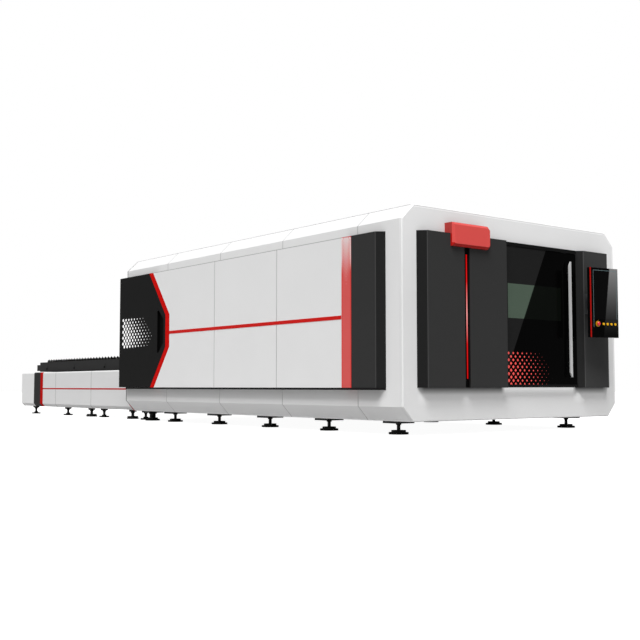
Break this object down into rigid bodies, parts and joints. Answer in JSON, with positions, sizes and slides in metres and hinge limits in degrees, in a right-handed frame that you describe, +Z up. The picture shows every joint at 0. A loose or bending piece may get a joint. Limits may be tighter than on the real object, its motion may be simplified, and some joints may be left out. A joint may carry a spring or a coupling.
{
  "type": "fiber laser cutting machine",
  "caption": "Enclosed flat-bed fiber laser cutter with a chamfered cabin, sliding front door, swivel control panel and a rear exchange table with slatted pallets.",
  "frame": {"origin": "on the floor, under the middle of the machine's overall length and width", "axes": "+X along the length, from the exchange table towards the operator's door; +Y to the right of someone facing the door's wall from inside, that is away from the pictured long side; +Z up"},
  "size_m": [10.5224, 3.424, 2.2],
  "materials": {
    "body_white": "satin powder coat",
    "cover_black": "satin powder coat",
    "trim_red": "satin powder coat",
    "door_black": "high gloss",
    "sign_red": "gloss",
    "bed_grey": "matt primer and paint",
    "table_black": "matt paint",
    "slat_steel": "mill-finish, heat-darkened",
    "guide_steel": "ground",
    "tray_steel": "plain",
    "track_steel": "zinc plated",
    "window_glass": "laser-safe tint",
    "screen_glass": "gloss",
    "light_red": "diffuse, lit",
    "handle_grey": "anodised",
    "button_yellow": "gloss",
    "stop_red": "gloss",
    "panel_grey": "satin",
    "foot_black": "black",
    "motor_black": "semi-gloss",
    "head_silver": "anodised",
    "nozzle_copper": "turned",
    "gantry_white": "satin powder coat",
    "wheel_black": "polyurethane"
  },
  "bodies": {
    "machine": {"bed_frame": "bed_grey", "scrap_trays": "tray_steel", "inner_pallet_tracks": "track_steel", "x_guides": "guide_steel", "front_wall": "body_white", "rear_wall": "body_white", "wall_panels": "body_white", "service_wall_panels": "body_white", "roof_panels": "body_white", "side_panels": "body_white", "side_corner_covers": "cover_black", "side_red_trims": "trim_red", "chevron_trims": "trim_red", "front_cover_outer": "cover_black", "front_cover_inner": "cover_black", "front_pillar": "cover_black", "status_light": "light_red", "sign_block": "sign_red", "door_tracks": "cover_black", "panel_arm": "panel_grey", "table_frame": "table_black", "table_panels": "body_white", "table_end_cover": "body_white", "table_black_bands": "cover_black", "table_red_bands": "trim_red", "lift_rams": "motor_black", "exchange_drive": "motor_black", "foot_pads": "foot_black", "foot_screws": "foot_black"},
    "left_service_door": {"left_service_door": "cover_black"},
    "right_service_door": {"right_service_door": "cover_black"},
    "front_door": {"door_leaf": "door_black", "door_window": "window_glass", "door_handle": "handle_grey", "door_hangers": "track_steel"},
    "control_panel": {"panel_housing": "panel_grey", "panel_screen": "screen_glass", "panel_strip": "trim_red", "estop_collar": "button_yellow"},
    "estop": {"estop_button": "stop_red"},
    "gantry": {"gantry_beam": "gantry_white", "gantry_saddles": "gantry_white", "x_drives": "motor_black", "y_guides": "guide_steel"},
    "carriage": {"carriage": "gantry_white", "carriage_drives": "motor_black"},
    "head": {"z_slide": "head_silver", "cutting_head": "head_silver", "nozzle": "nozzle_copper"},
    "lift": {"lift_frame": "table_black", "lower_pallet": "table_black", "lower_slats": "slat_steel"},
    "upper_pallet": {"upper_pallet": "table_black", "upper_slats": "slat_steel"},
    "rear_wheels": {"upper_wheels_rear": "wheel_black"},
    "front_wheels": {"upper_wheels_front": "wheel_black"},
    "button_1": {"panel_button_1": "button_yellow"},
    "button_2": {"panel_button_2": "button_yellow"},
    "button_3": {"panel_button_3": "button_yellow"},
    "button_4": {"panel_button_4": "button_yellow"}
  },
  "joints": [
    {"name": "front_door_slide", "type": "slide", "parent": "machine", "child": "front_door", "axis": [0, -1, 0], "range_m": [0, 0.95]},
    {"name": "left_service_door_hinge", "type": "hinge", "parent": "machine", "child": "left_service_door", "pos_m": [-0.70123, -1.64, 1.2], "axis": [0, 0, -1], "range_deg": [0, 95]},
    {"name": "right_service_door_hinge", "type": "hinge", "parent": "machine", "child": "right_service_door", "pos_m": [-0.70123, 1.64, 1.2], "axis": [0, 0, 1], "range_deg": [0, 95]},
    {"name": "panel_swivel", "type": "hinge", "parent": "machine", "child": "control_panel", "pos_m": [5.12984, 1.06861, 1.367], "axis": [0, 0, 1], "range_deg": [-30, 40]},
    {"name": "estop_press", "type": "slide", "parent": "control_panel", "child": "estop", "axis": [-0.9893, 0.1461, 0], "range_m": [0, 0.005]},
    {"name": "button_1_press", "type": "slide", "parent": "control_panel", "child": "button_1", "axis": [-0.9893, 0.1461, 0], "range_m": [0, 0.003], "stiffness_N_per_m": 400},
    {"name": "button_2_press", "type": "slide", "parent": "control_panel", "child": "button_2", "axis": [-0.9893, 0.1461, 0], "range_m": [0, 0.003], "stiffness_N_per_m": 400},
    {"name": "button_3_press", "type": "slide", "parent": "control_panel", "child": "button_3", "axis": [-0.9893, 0.1461, 0], "range_m": [0, 0.003], "stiffness_N_per_m": 400},
    {"name": "button_4_press", "type": "slide", "parent": "control_panel", "child": "button_4", "axis": [-0.9893, 0.1461, 0], "range_m": [0, 0.003], "stiffness_N_per_m": 400},
    {"name": "gantry_x", "type": "slide", "parent": "machine", "child": "gantry", "axis": [1, 0, 0], "range_m": [0, 4]},
    {"name": "carriage_y", "type": "slide", "parent": "gantry", "child": "carriage", "axis": [0, 1, 0], "range_m": [0, 2]},
    {"name": "head_z", "type": "slide", "parent": "carriage", "child": "head", "axis": [0, 0, -1], "range_m": [0, 0.12]},
    {"name": "table_lift", "type": "slide", "parent": "machine", "child": "lift", "axis": [0, 0, 1], "range_m": [0, 0.27]},
    {"name": "pallet_roll", "type": "slide", "parent": "lift", "child": "upper_pallet", "axis": [-1, 0, 0], "range_m": [-4.79, 0]},
    {"name": "rear_wheels_spin", "type": "hinge", "parent": "upper_pallet", "child": "rear_wheels", "pos_m": [-4.26956, 0, 0.735], "axis": [0, -1, 0], "range_deg": [-7861, 10]},
    {"name": "front_wheels_spin", "type": "hinge", "parent": "upper_pallet", "child": "front_wheels", "pos_m": [-1.24289, 0, 0.735], "axis": [0, -1, 0], "range_deg": [-7861, 10]}
  ],
  "couplings": [
    {"joint": "rear_wheels_spin", "follows": "pallet_roll", "rad_per_m": 28.571},
    {"joint": "front_wheels_spin", "follows": "pallet_roll", "rad_per_m": 28.571}
  ]
}
